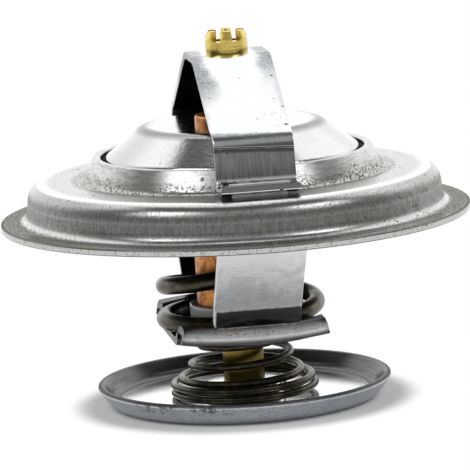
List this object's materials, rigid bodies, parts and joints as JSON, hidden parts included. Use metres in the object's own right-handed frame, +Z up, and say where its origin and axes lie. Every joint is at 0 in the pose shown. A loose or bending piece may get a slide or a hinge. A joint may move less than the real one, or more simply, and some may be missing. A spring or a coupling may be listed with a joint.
{
  "type": "engine thermostat",
  "caption": "Wax engine thermostat: domed main valve in a stamped round flange, strap bridge above, coil spring and legs below, bypass disc on a sprung stem.",
  "frame": {"origin": "middle of the bypass disc's underside, on the surface that the thermostat stands on", "axes": "+Z up along the axis of the valve, from the bypass disc to the bridge; Y runs from leg to leg, with the front leg at -Y; X across"},
  "size_m": [0.067, 0.067, 0.0534],
  "materials": {
    "stamped_steel": "stamped, pitted and grimy",
    "bridge_steel": "rolled sheet with dark pits",
    "valve_steel": "smooth pressed",
    "leg_steel": "dull rolled sheet",
    "disc_steel": "smooth pressed",
    "ground_steel": "ground and polished",
    "spring_steel": "dark oiled wire",
    "brass": "turned",
    "copper": "drawn copper",
    "boot_rubber": "moulded",
    "seal_plastic": "plain",
    "wax": "copper filled wax"
  },
  "bodies": {
    "frame": {"flange": "stamped_steel", "top_bridge": "bridge_steel", "adjusting_bush": "brass", "piston": "ground_steel", "leg_front": "leg_steel", "leg_rear": "leg_steel", "crossplate": "leg_steel", "main_spring": "spring_steel"},
    "element": {"valve_plate": "valve_steel", "capsule_cup": "copper", "capsule_guide": "copper", "seal_washer": "seal_plastic", "rubber_boot": "boot_rubber", "wax_charge": "wax", "bypass_stem": "brass", "bypass_spring": "spring_steel"},
    "bypass": {"bypass_disc": "disc_steel"}
  },
  "joints": [
    {"name": "valve_lift", "type": "slide", "parent": "frame", "child": "element", "axis": [0, 0, -1], "range_m": [0, 0.008], "stiffness_N_per_m": 4500, "springref_m": -0.012, "deforming": ["main_spring"]},
    {"name": "bypass_slide", "type": "slide", "parent": "element", "child": "bypass", "axis": [0, 0, 1], "range_m": [0, 0.004], "stiffness_N_per_m": 1500, "springref_m": -0.006, "deforming": ["bypass_spring"]}
  ]
}
